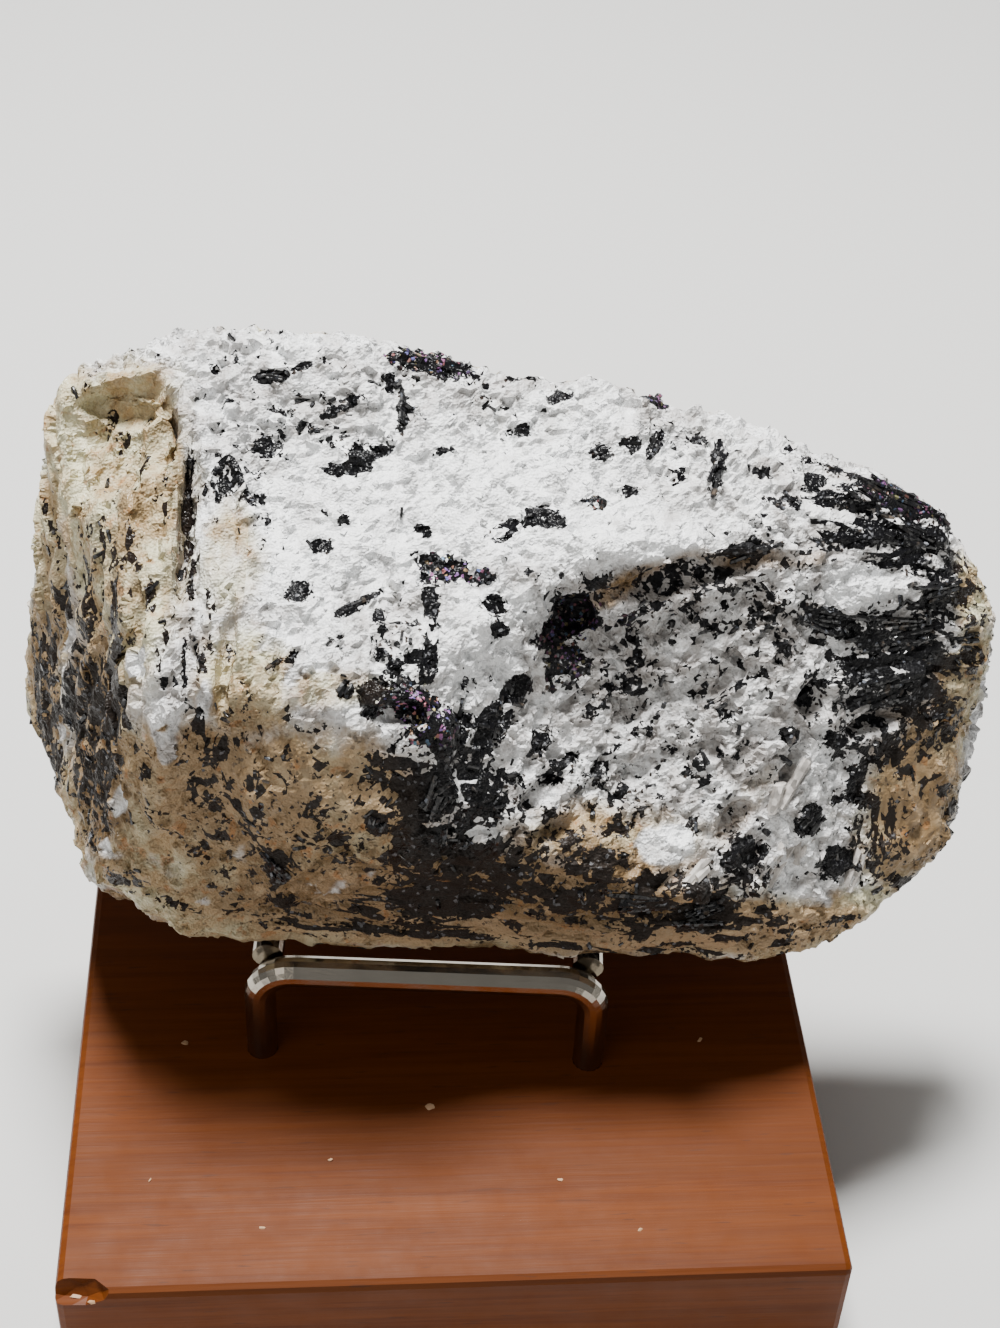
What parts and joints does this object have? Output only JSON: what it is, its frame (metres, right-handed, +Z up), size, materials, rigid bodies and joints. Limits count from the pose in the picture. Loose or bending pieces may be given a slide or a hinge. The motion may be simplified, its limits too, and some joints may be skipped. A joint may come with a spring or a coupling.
{
  "type": "black tourmaline in quartz specimen on a rod display stand",
  "caption": "Rough white quartz with black tourmaline crystals, resting in a bent metal rod cradle on a square varnished wooden display block.",
  "frame": {"origin": "middle of the wooden block's underside", "axes": "+X to the viewer's right along the stone's length, +Y from the front bar to the back rest, +Z up"},
  "size_m": [0.1007, 0.076, 0.0831],
  "materials": {
    "quartz_and_tourmaline": "rough",
    "varnished_wood": "satin",
    "polished_rod": "polished"
  },
  "bodies": {
    "root": {"stone": "quartz_and_tourmaline", "display_block": "varnished_wood", "front_rod": "polished_rod", "left_arm": "polished_rod", "right_arm": "polished_rod", "back_rest_rod": "polished_rod"}
  },
  "joints": []
}
